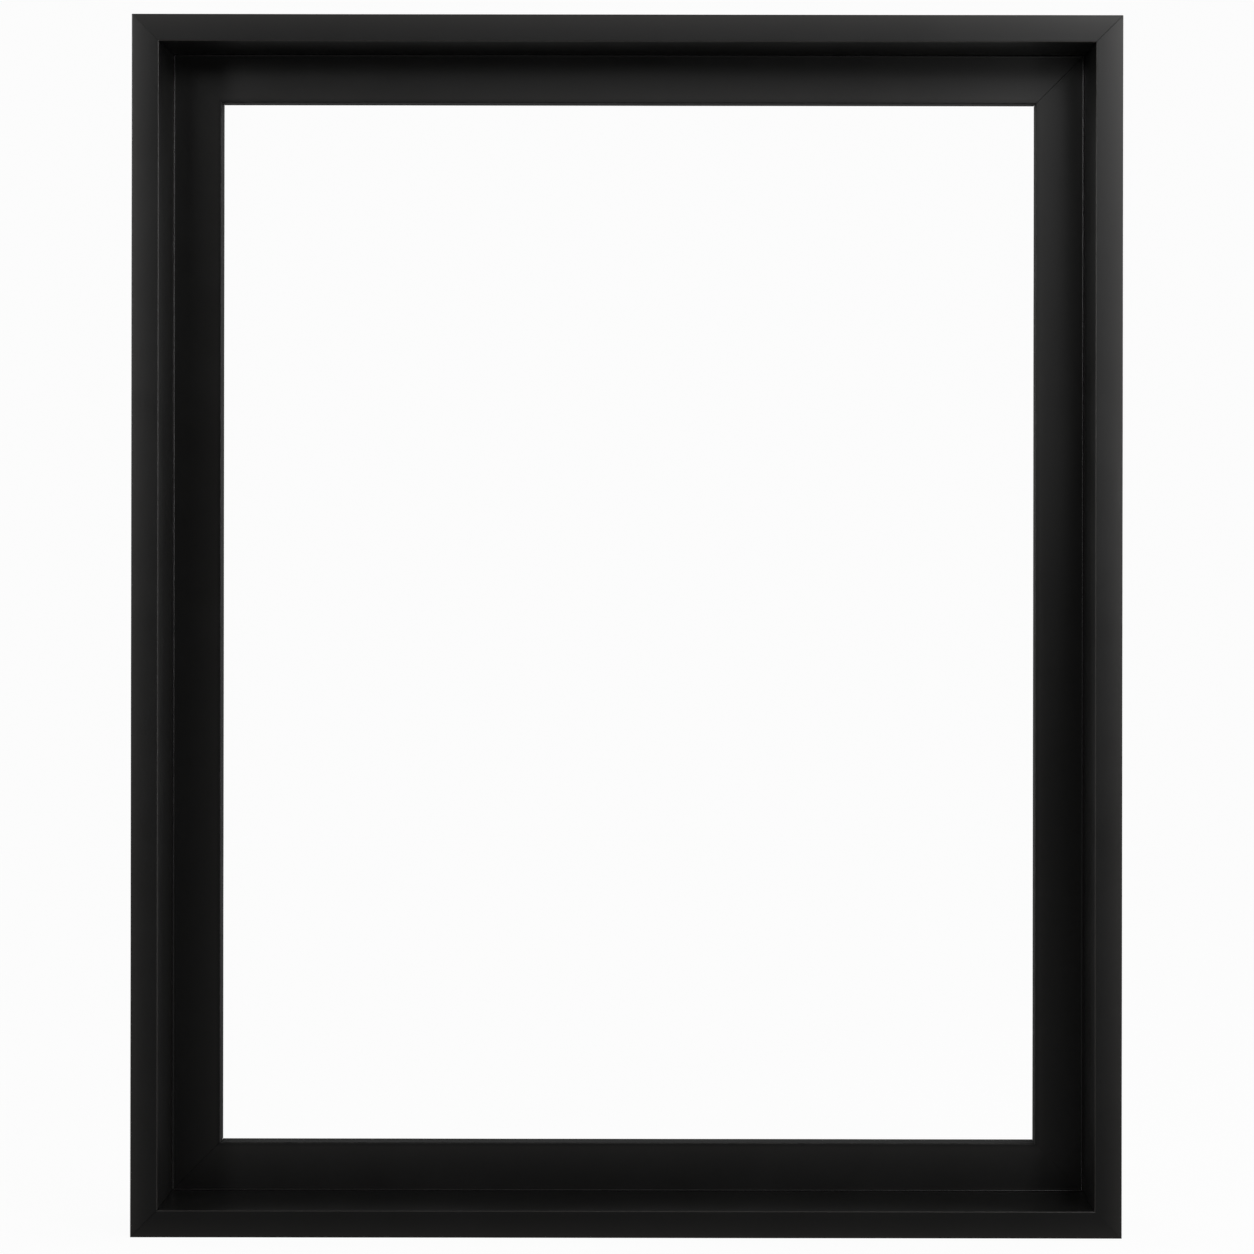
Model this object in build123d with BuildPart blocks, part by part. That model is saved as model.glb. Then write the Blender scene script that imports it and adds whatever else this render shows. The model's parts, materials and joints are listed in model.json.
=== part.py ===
"""Floater frame for a stretched canvas: mitred L-section rails, v-nailed corners and D-ring hangers.

Row frame, millimetres: +Z up, +X to the right of someone facing the front, and the front faces -Y.
The origin is the centre of the bottom edge, half-way through the frame's depth.
"""

from build123d import *
import math
import os

os.makedirs("parts", exist_ok=True)

# ---------------------------------------------------------------- driving dimensions
canvas_width = 406.4  # the stretched canvas that the frame is made for
canvas_height = 508.0
canvas_depth = 38.1
float_gap = 2.0  # shadow gap between the canvas and the inner wall, each side
face_reveal = 0.9  # how far the canvas face sits below the lip

lip_width = 12.0  # front face of the moulding, and the thickness of its outer wall
ledge_width = 21.6  # how far the ledge stands in from the inner wall
ledge_thickness = 9.0
arris_radius = 0.5  # eased edges of the moulding
corner_radius = 0.7  # inside corner between the wall and the ledge

nail_thickness = 0.6  # v-nails: folded steel strip
nail_wing = 4.0  # length of each side of the v
nail_flange = 1.2  # turned end of each side
nail_half_angle = 50.0
nail_set = 0.4  # how far the last nail is driven below the back
wall_nail_length = 15.0
wall_nail_point = 7.0  # the v's point from the outer corner, along the mitre
ledge_nail_length = 7.0
ledge_nail_point = 30.0

hanger_drop = 150.0  # ring axis below the top edge
strap_edge = 4.25  # between the strap and the rail's outer face
strap_width = 9.5
strap_thickness = 0.8
strap_gap = 0.15  # between the strap's two leaves
strap_tail = 20.0  # strap end below the ring axis
strap_wrap = 40.0  # how many degrees past level the loop closes round the ring
strap_bend = 1.2  # bend from the loop into the front leaf
strap_corner = 2.5

ring_wire = 2.2
ring_clearance = 0.06  # radial, between the ring and the strap's loop
ring_side_clearance = 1.15  # between the strap's edge and the ring's leg
ring_leg = 2.4  # from the ring's axis to the start of its bow
ring_corner = 1.9
ring_butt = 0.3  # gap between the wire's two ends, inside the loop
ring_rest_clearance = 0.15  # between the folded ring and the strap or rail it lies against

screw_length = 12.7
screw_thread = 3.5
screw_tip = 4.0
screw_head = 6.6
screw_head_height = 2.0
screw_head_rim = 0.7  # straight side of the head
screw_recess_width = 1.0
screw_recess_span = 3.6
screw_recess_depth = 1.2
screw_recess_taper = 8.0
screw_head_clearance = 0.8  # between the folded ring and the screw's head
screw_strap_clearance = 0.25  # radial
screw_pilot_clearance = 0.03  # radial, in the wood

bumper_diameter = 12.7
bumper_height = 3.5
bumper_round = 2.4  # rounding of its top edge
bumper_from_side = 45.0  # centre from the frame's outer side
bumper_from_bottom = 16.0

# ---------------------------------------------------------------- worked-out sizes
rebate_width = canvas_width + 2 * float_gap
rebate_height = canvas_height + 2 * float_gap
rebate_depth = canvas_depth + face_reveal
rail_width = lip_width + ledge_width
depth = rebate_depth + ledge_thickness
width = rebate_width + 2 * lip_width
height = rebate_height + 2 * lip_width
front = -depth / 2
back = depth / 2

ring_radius = ring_wire / 2
loop_radius = ring_radius + ring_clearance + strap_thickness / 2  # to the middle of the strap's sheet
ring_axis_out = loop_radius + strap_thickness / 2  # ring axis from the rail's back
ring_half_width = strap_width / 2 + ring_side_clearance + ring_radius  # to the middle of the wire
ring_reach = ring_leg + ring_half_width
strap_top = 2 * strap_thickness + strap_gap
ring_fold_reach = ring_leg + math.sqrt(ring_half_width**2 - (strap_width / 2) ** 2)  # over the strap's edge
ring_fold_out = strap_top + ring_rest_clearance + ring_radius  # middle of the folded wire from the rail's back
ring_fold_angle = math.degrees(math.asin((ring_fold_out - ring_axis_out) / ring_fold_reach))
ring_raise_out = ring_rest_clearance + ring_radius
ring_raise_angle = math.degrees(math.asin((ring_axis_out - ring_raise_out) / ring_reach))
ring_swing = 180 - ring_fold_angle + ring_raise_angle
screw_drop = ring_reach + ring_radius + screw_head_clearance + screw_head / 2

SIDES = {"left": -1, "right": 1}
LEVELS = {"bottom": -1, "top": 1}


def save(piece, node):
    """Labels a finished piece and writes it as its own node."""
    piece.part.label = node
    export_step(piece.part, f"parts/{node}.step")


# ---------------------------------------------------------------- v-nails
def mitre_plane(side, level):
    """The back at an outer corner of the frame: local x runs in along the mitre, and z out of the back."""
    corner = (side * width / 2, back, (height + level * height) / 2)
    return Plane(origin=corner, x_dir=(-side, 0, -level), z_dir=(0, 1, 0))


def v_nail(plane, point, top, length):
    """A folded v of steel strip, pointing at the outer corner, from top to top + length below the back."""
    turn = math.radians(nail_half_angle)
    end_x = point + nail_wing * math.cos(turn)
    end_y = nail_wing * math.sin(turn)
    with BuildPart() as nail:
        with BuildSketch(plane.offset(-top)):
            with BuildLine():
                Polyline(
                    (end_x + nail_flange, end_y),
                    (end_x, end_y),
                    (point, 0),
                    (end_x, -end_y),
                    (end_x + nail_flange, -end_y),
                )
            trace(line_width=nail_thickness)
        extrude(amount=-length)
    return nail


nail_slots = {}  # what the nails cut into the rails at each corner
for level_name, level in LEVELS.items():
    for side_name, side in SIDES.items():
        corner_name = f"{level_name}_{side_name}"
        plane = mitre_plane(side, level)
        deep_set = nail_set + wall_nail_length
        save(v_nail(plane, wall_nail_point, nail_set, wall_nail_length), f"v_nail_wall_{corner_name}")
        save(v_nail(plane, wall_nail_point, deep_set, wall_nail_length), f"v_nail_deep_{corner_name}")
        save(v_nail(plane, ledge_nail_point, nail_set, ledge_nail_length), f"v_nail_ledge_{corner_name}")
        nail_slots[corner_name] = [
            v_nail(plane, wall_nail_point, 0, deep_set + wall_nail_length),
            v_nail(plane, ledge_nail_point, 0, nail_set + ledge_nail_length),
        ]


# ---------------------------------------------------------------- hangers
def hanger_plane(side):
    """A side rail's back at the ring's axis: local x runs out of the back, y up and z along the axis."""
    origin = (side * (width / 2 - strap_edge - strap_width / 2), back, height - hanger_drop)
    return Plane(origin=origin, x_dir=(0, 1, 0), z_dir=(1, 0, 0))


def screw_plane(side):
    """The same plane moved to where the screw's axis meets the strap's front leaf."""
    hanger = hanger_plane(side)
    return Plane(
        origin=hanger.from_local_coords((strap_top, -screw_drop)),
        x_dir=hanger.x_dir,
        z_dir=hanger.z_dir,
    )


def screw_shank(side, clearance=0.0):
    """The outside of a screw's thread from under the head to the tip, or its hole where it has clearance."""
    plane = screw_plane(side)
    radius = screw_thread / 2 + clearance
    with BuildPart() as shank:
        with BuildSketch(plane):
            with BuildLine():
                Polyline(
                    (0, 0),
                    (0, radius),
                    (screw_tip - screw_length, radius),
                    (-screw_length - clearance, 0),
                    close=True,
                )
            make_face()
        revolve(axis=Axis(plane.origin, plane.x_dir))
    return shank


def hanger_screw(side):
    """A pan-head wood screw with a cross recess."""
    plane = screw_plane(side)
    head_top = Plane(origin=plane.from_local_coords((screw_head_height, 0)), z_dir=plane.x_dir)
    with BuildPart() as screw:
        with BuildSketch(plane):
            with BuildLine():
                Polyline(
                    (screw_head_height, 0),
                    (-screw_length, 0),
                    (screw_tip - screw_length, screw_thread / 2),
                    (0, screw_thread / 2),
                    (0, screw_head / 2),
                    (screw_head_rim, screw_head / 2),
                )
                EllipticalCenterArc(
                    (screw_head_rim, 0),
                    screw_head_height - screw_head_rim,
                    screw_head / 2,
                    arc_size=90,
                )
            make_face()
        revolve(axis=Axis(plane.origin, plane.x_dir))
        for slot_angle in (0, 90):
            with BuildSketch(head_top.rotated((0, 0, slot_angle))):
                Rectangle(screw_recess_span, screw_recess_width)
            extrude(amount=-screw_recess_depth, taper=screw_recess_taper, mode=Mode.SUBTRACT)
    return screw


def hanger_strap(side):
    """A strip of steel folded round the ring's bar, with both of its leaves drilled for the screw."""
    leaf_middle = strap_thickness / 2
    front_leaf = strap_top - leaf_middle
    with BuildPart() as strap:
        with BuildSketch(hanger_plane(side)):
            with BuildLine():
                back_leaf = Line((leaf_middle, -strap_tail), (leaf_middle, 0))
                loop = JernArc(back_leaf @ 1, back_leaf % 1, loop_radius, -180 - strap_wrap)
                slope = loop % 1
                knee = loop @ 1 + slope * ((front_leaf - (loop @ 1).X) / slope.X)
                FilletPolyline(loop @ 1, knee, (front_leaf, -strap_tail), radius=strap_bend)
            trace(line_width=strap_thickness)
        extrude(amount=strap_width / 2, both=True)
        tail = strap.edges().filter_by(Axis.Y).group_by(Axis.Z)[0]
        fillet(tail, radius=strap_corner)
        with BuildSketch(Plane(origin=screw_plane(side).origin, z_dir=(0, 1, 0))):
            Circle(screw_thread / 2 + screw_strap_clearance)
        extrude(amount=-strap_top, mode=Mode.SUBTRACT)
    return strap


def hanger_ring(side):
    """A D of bent wire, folded down over the strap, with the ends of the wire butted inside the loop."""
    axis_plane = hanger_plane(side)
    fold = math.radians(ring_fold_angle)
    ring_plane = Plane(
        origin=axis_plane.from_local_coords((ring_axis_out, 0)),
        x_dir=(1, 0, 0),
        z_dir=axis_plane.x_dir * math.cos(fold) + axis_plane.y_dir * math.sin(fold),
    )
    with BuildPart() as ring:
        with BuildLine(ring_plane) as wire:
            FilletPolyline(
                (ring_butt / 2, 0),
                (ring_half_width, 0),
                (ring_half_width, ring_leg),
                radius=ring_corner,
            )
            ThreePointArc((ring_half_width, ring_leg), (0, ring_reach), (-ring_half_width, ring_leg))
            FilletPolyline(
                (-ring_half_width, ring_leg),
                (-ring_half_width, 0),
                (-ring_butt / 2, 0),
                radius=ring_corner,
            )
        with BuildSketch(Plane(origin=wire.wire() @ 0, z_dir=wire.wire() % 0)):
            Circle(ring_radius)
        sweep()
    return ring


pilot_holes = {}
for side_name, side in SIDES.items():
    save(hanger_strap(side), f"hanger_strap_{side_name}")
    save(hanger_ring(side), f"hanger_ring_{side_name}")
    save(hanger_screw(side), f"hanger_screw_{side_name}")
    pilot_holes[side_name] = screw_shank(side, screw_pilot_clearance)


# ---------------------------------------------------------------- bumpers
def bumper(side):
    """A self-adhesive domed foot that keeps the bottom of the frame off the wall."""
    centre = Vector(side * (width / 2 - bumper_from_side), back, bumper_from_bottom)
    with BuildPart() as foot:
        with BuildSketch(Plane(origin=centre, z_dir=(0, 1, 0))):
            Circle(bumper_diameter / 2)
        extrude(amount=bumper_height)
        fillet(foot.edges().group_by(Axis.Y)[-1], radius=bumper_round)
    return foot


for side_name, side in SIDES.items():
    save(bumper(side), f"bumper_{side_name}")


# ---------------------------------------------------------------- rails
def rail(inward, length, reach, cuts):
    """A mitred L-section rail, whose outer edge is at reach from the frame's middle and inward points back."""
    inward = Vector(inward)
    origin = Vector(0, front, height / 2) - inward * reach
    section_plane = Plane(origin=origin, x_dir=inward, z_dir=inward.cross(Vector(0, 1, 0)))
    with BuildPart() as moulding:
        with BuildSketch(section_plane) as section:
            with BuildLine():
                Polyline(
                    (0, 0),
                    (lip_width, 0),
                    (lip_width, rebate_depth),
                    (rail_width, rebate_depth),
                    (rail_width, depth),
                    (0, depth),
                    close=True,
                )
            make_face()
            inside = section.vertices().sort_by_distance((lip_width, rebate_depth))[0]
            fillet(inside, radius=corner_radius)
            arrises = section.vertices().sort_by_distance((lip_width, rebate_depth))[2:]
            fillet(arrises, radius=arris_radius)
        extrude(amount=length / 2, both=True)
        for along in (section_plane.z_dir, -section_plane.z_dir):
            end = section_plane.origin + along * (length / 2)
            split(bisect_by=Plane(origin=end, z_dir=along + inward), keep=Keep.BOTTOM)
        for cut in cuts:
            add(cut.part, mode=Mode.SUBTRACT)
    return moulding


for level_name, level in LEVELS.items():
    slots = nail_slots[f"{level_name}_left"] + nail_slots[f"{level_name}_right"]
    save(rail((0, 0, -level), width, height / 2, slots), f"rail_{level_name}")
for side_name, side in SIDES.items():
    slots = nail_slots[f"bottom_{side_name}"] + nail_slots[f"top_{side_name}"]
    save(rail((-side, 0, 0), height, width / 2, slots + [pilot_holes[side_name]]), f"rail_{side_name}")

print(f"outside {width:.1f} x {height:.1f} x {depth:.1f}")
print(f"ring axis z {height - hanger_drop:.2f}, y {back + ring_axis_out:.3f}, swing {ring_swing:.2f} degrees")
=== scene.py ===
"""A black floater frame for a stretched canvas, standing in a plain pale studio.

Every length is in metres and every place is in the frame's own axes: +X to the right of someone
facing the front, -Y out of the front and +Z up.
"""

import json
import logging
import math
from dataclasses import dataclass, field
from enum import Enum
from typing import Callable, Iterable, NamedTuple, Sequence

import bmesh
import bpy
from mathutils import Matrix, Vector


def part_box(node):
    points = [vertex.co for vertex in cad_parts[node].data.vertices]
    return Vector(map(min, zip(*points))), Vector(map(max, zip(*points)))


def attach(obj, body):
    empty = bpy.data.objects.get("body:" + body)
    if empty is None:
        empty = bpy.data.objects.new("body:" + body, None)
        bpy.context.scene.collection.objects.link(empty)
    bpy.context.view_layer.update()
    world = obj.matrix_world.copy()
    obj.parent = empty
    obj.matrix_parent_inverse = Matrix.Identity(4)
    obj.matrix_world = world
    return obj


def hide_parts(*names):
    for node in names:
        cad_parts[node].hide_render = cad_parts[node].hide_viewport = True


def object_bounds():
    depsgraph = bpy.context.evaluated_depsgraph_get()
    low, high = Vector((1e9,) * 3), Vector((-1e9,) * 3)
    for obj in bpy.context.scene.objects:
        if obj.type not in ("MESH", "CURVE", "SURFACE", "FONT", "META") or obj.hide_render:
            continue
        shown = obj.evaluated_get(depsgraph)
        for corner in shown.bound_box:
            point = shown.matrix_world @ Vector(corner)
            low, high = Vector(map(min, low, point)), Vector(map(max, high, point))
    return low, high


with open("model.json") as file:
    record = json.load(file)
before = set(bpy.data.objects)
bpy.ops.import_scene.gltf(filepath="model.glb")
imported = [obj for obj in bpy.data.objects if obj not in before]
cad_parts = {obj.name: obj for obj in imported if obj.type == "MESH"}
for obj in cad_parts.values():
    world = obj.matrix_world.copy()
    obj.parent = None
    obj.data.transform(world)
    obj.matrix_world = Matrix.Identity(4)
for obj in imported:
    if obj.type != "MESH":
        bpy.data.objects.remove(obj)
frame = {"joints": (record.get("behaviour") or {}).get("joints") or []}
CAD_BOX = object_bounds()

log = logging.getLogger("floater_frame")

WHOLLY_BY_AREA = 100  # a weighted normal's highest weight
WHITE = (1, 1, 1, 1)
WHITE_LEVEL = 0.972  # the white that surrounds the frame, a little under full

UP = Vector((0, 0, 1))
RIGHT = Vector((1, 0, 0))
REARWARD = Vector((0, 1, 0))


class Side(Enum):
    """The two sides of the frame, as seen from the front."""

    LEFT = "left"
    RIGHT = "right"

    @property
    def sign(self) -> int:
        """The sign of this side's X."""
        return -1 if self is Side.LEFT else 1


class Level(Enum):
    """The bottom and the top of the frame."""

    BOTTOM = "bottom"
    TOP = "top"

    @property
    def sign(self) -> int:
        """-1 at the bottom and 1 at the top."""
        return -1 if self is Level.BOTTOM else 1


class Grain(Enum):
    """Which way a rail's wood runs."""

    UPRIGHT = "upright"
    LEVEL = "level"


class NailPlace(Enum):
    """Where a v-nail sits at a corner."""

    WALL = "wall"
    DEEP = "deep"
    LEDGE = "ledge"


# ------------------------------------------------------------------------------------ mesh work
class SectionPoint(NamedTuple):
    """A point of a closed outline: how far up an edge's round, how much painted sheen lightens it and how much
    glossier it is.
    """

    u: float
    v: float
    edge: float = 0.0
    rubbed: float = 0.0
    gloss: float = 0.0


def arc(centre: tuple[float, float], radius: float, start: float, end: float, steps: int) -> list[SectionPoint]:
    """Points along an arc, with edge highest half-way.

    Args:
        centre: the arc's centre.
        radius: its radius.
        start: its first angle in degrees.
        end: its last angle in degrees.
        steps: how many chords it has.

    Returns:
        The points, both ends included.
    """
    points = []
    for step in range(steps + 1):
        share = step / steps
        angle = math.radians(start + (end - start) * share)
        points.append(
            SectionPoint(
                centre[0] + radius * math.cos(angle),
                centre[1] + radius * math.sin(angle),
                math.sin(math.pi * share),
            )
        )
    return points


def loft(rings: Sequence[Sequence[Vector]]) -> bmesh.types.BMesh:
    """Skins rings that each have the same number of points, and closes both ends.

    Args:
        rings: the closed rings, in order.

    Returns:
        The skin, with its faces turned outwards.
    """
    shell = bmesh.new()
    rows = [[shell.verts.new(point) for point in ring] for ring in rings]
    count = len(rings[0])
    for lower, upper in zip(rows, rows[1:]):
        for index in range(count):
            after = (index + 1) % count
            shell.faces.new((lower[index], lower[after], upper[after], upper[index]))
    shell.faces.new(list(reversed(rows[0])))
    shell.faces.new(rows[-1])
    bmesh.ops.recalc_face_normals(shell, faces=shell.faces)
    return shell


def piece_from(shell: bmesh.types.BMesh, name: str) -> bpy.types.Object:
    """Turns a bmesh into an object in the scene, and frees the bmesh.

    Args:
        shell: the bmesh.
        name: the object's name.

    Returns:
        The object.
    """
    mesh = bpy.data.meshes.new(name)
    shell.to_mesh(mesh)
    shell.free()
    piece = bpy.data.objects.new(name, mesh)
    bpy.context.scene.collection.objects.link(piece)
    return piece


def spoke(centre: Vector, radius: float, turn: float, height: float) -> Vector:
    """A point at a radius and a height round an axis that runs back through centre."""
    angle = 2 * math.pi * turn
    return centre + RIGHT * (radius * math.cos(angle)) + UP * (radius * math.sin(angle)) + REARWARD * height


def lathe(profile: Sequence[tuple[float, float]], centre: Vector, around: int, name: str) -> bpy.types.Object:
    """Turns a profile round an axis that runs back through a point.

    Args:
        profile: radius and height of each point, from end to end; a first or last radius of 0 closes it.
        centre: the point.
        around: how many facets the turned shape has.
        name: the piece's name.

    Returns:
        The turned piece.
    """
    shell = bmesh.new()
    rows = []
    for radius, height in profile:
        turns = [0.0] if radius == 0.0 else [step / around for step in range(around)]
        rows.append([shell.verts.new(spoke(centre, radius, turn, height)) for turn in turns])
    for lower, upper in zip(rows, rows[1:]):
        for index in range(around):
            after = (index + 1) % around
            if len(lower) == 1:
                shell.faces.new((lower[0], upper[after], upper[index]))
            elif len(upper) == 1:
                shell.faces.new((lower[index], lower[after], upper[0]))
            else:
                shell.faces.new((lower[index], lower[after], upper[after], upper[index]))
    bmesh.ops.recalc_face_normals(shell, faces=shell.faces)
    return piece_from(shell, name)


def settle(piece: bpy.types.Object) -> None:
    """Replaces a piece's mesh with what its modifiers make of it.

    Args:
        piece: the piece, which keeps no modifiers.
    """
    graph = bpy.context.evaluated_depsgraph_get()
    made = bpy.data.meshes.new_from_object(piece.evaluated_get(graph))
    piece.modifiers.clear()
    piece.data = made


def cut(piece: bpy.types.Object, cutters: Iterable[bpy.types.Object]) -> None:
    """Cuts shapes out of a piece, one after another, and deletes them.

    Args:
        piece: the piece.
        cutters: the shapes.
    """
    for cutter in cutters:
        step = piece.modifiers.new("cut", "BOOLEAN")
        step.operation = "DIFFERENCE"
        step.solver = "EXACT"
        step.object = cutter
        settle(piece)
        bpy.data.objects.remove(cutter)


def smooth(piece: bpy.types.Object, angle: float) -> None:
    """Shades a piece smooth, with its flat faces kept flat.

    Args:
        piece: the piece.
        angle: edges that turn by more than this many degrees are kept sharp.
    """
    piece.data.polygons.foreach_set("use_smooth", [True] * len(piece.data.polygons))
    piece.data.set_sharp_from_angle(angle=math.radians(angle))
    weighted = piece.modifiers.new("flat faces stay flat", "WEIGHTED_NORMAL")
    weighted.keep_sharp = True
    weighted.weight = WHOLLY_BY_AREA


def paint_points(mesh: bpy.types.Mesh, name: str, values: Sequence[float]) -> None:
    """Stores one number for each vertex under a name that a material can read."""
    layer = mesh.attributes.new(name, "FLOAT", "POINT")
    layer.data.foreach_set("value", list(values))


def wave(position: float, phase: float) -> float:
    """A slow uneven ripple from 0 to 1 along a length, for wood that isn't dead straight.

    Args:
        position: where along the length.
        phase: where the ripple starts.

    Returns:
        The ripple there.
    """
    slow, quick, quick_share, drift = 31.0, 73.0, 0.6, 2.1
    ripple = math.sin(position * slow + phase) + quick_share * math.sin(position * quick + drift * phase)
    full_swing = 3.2
    return 0.5 + ripple / full_swing


# ------------------------------------------------------------------------------------ node trees
class Tree:
    """Adds and joins the nodes of one node tree."""

    def __init__(self, nodes: bpy.types.NodeTree) -> None:
        """Keeps the tree that nodes are added to."""
        self.tree = nodes

    def add(self, kind: str, inputs: dict | None = None, **settings: object) -> bpy.types.Node:
        """Adds a node.

        Args:
            kind: the node's type.
            inputs: each input by name or number, as a value or as the socket that feeds it.
            settings: properties of the node itself.

        Returns:
            The node.
        """
        node = self.tree.nodes.new(kind)
        for name, value in settings.items():
            setattr(node, name, value)
        for name, value in (inputs or {}).items():
            if isinstance(value, bpy.types.NodeSocket):
                self.tree.links.new(value, node.inputs[name])
            else:
                node.inputs[name].default_value = value
        return node

    def math(
        self, operation: str, *values: float | bpy.types.NodeSocket, clamp: bool = False
    ) -> bpy.types.NodeSocket:
        """Adds a maths node on up to three values, and returns its output."""
        node = self.add("ShaderNodeMath", dict(enumerate(values)), operation=operation, use_clamp=clamp)
        return node.outputs[0]

    def between(
        self, value: bpy.types.NodeSocket, low: float, high: float, to_low: float = 0.0, to_high: float = 1.0
    ) -> bpy.types.NodeSocket:
        """Maps a value smoothly from one range to another.

        Args:
            value: the value.
            low: the start of its range.
            high: the end of its range.
            to_low: what the start becomes.
            to_high: what the end becomes.

        Returns:
            The mapped value.
        """
        node = self.add(
            "ShaderNodeMapRange",
            {"Value": value, "From Min": low, "From Max": high, "To Min": to_low, "To Max": to_high},
            interpolation_type="SMOOTHSTEP",
        )
        return node.outputs["Result"]

    def blend(self, share: bpy.types.NodeSocket, first: object, second: object) -> bpy.types.NodeSocket:
        """Mixes two colours by a share, and returns the output."""
        node = self.add("ShaderNodeMix", {0: share, 6: first, 7: second}, data_type="RGBA", blend_type="MIX")
        return node.outputs[2]

    def point_value(self, name: str) -> bpy.types.NodeSocket:
        """The value that a mesh's points carry under a name."""
        return self.add("ShaderNodeAttribute", attribute_name=name).outputs["Fac"]

    def place(self, stretch: tuple[float, float, float] = (1, 1, 1)) -> bpy.types.NodeSocket:
        """The point on the piece, with each axis stretched.

        Args:
            stretch: how much each axis is stretched.

        Returns:
            The point, as a vector output.
        """
        coordinate = self.add("ShaderNodeTexCoord")
        mapping = self.add("ShaderNodeMapping", {"Vector": coordinate.outputs["Object"], "Scale": stretch})
        return mapping.outputs[0]


class Effect(Enum):
    """The surface effects that several finishes share."""

    MOTTLE = "mottle"
    PEEL = "lacquer peel"
    GRAIN = "open grain"
    EDGE_WEAR = "edge wear"
    DUST = "settled dust"
    SCUFFS = "fine scuffs"


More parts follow.
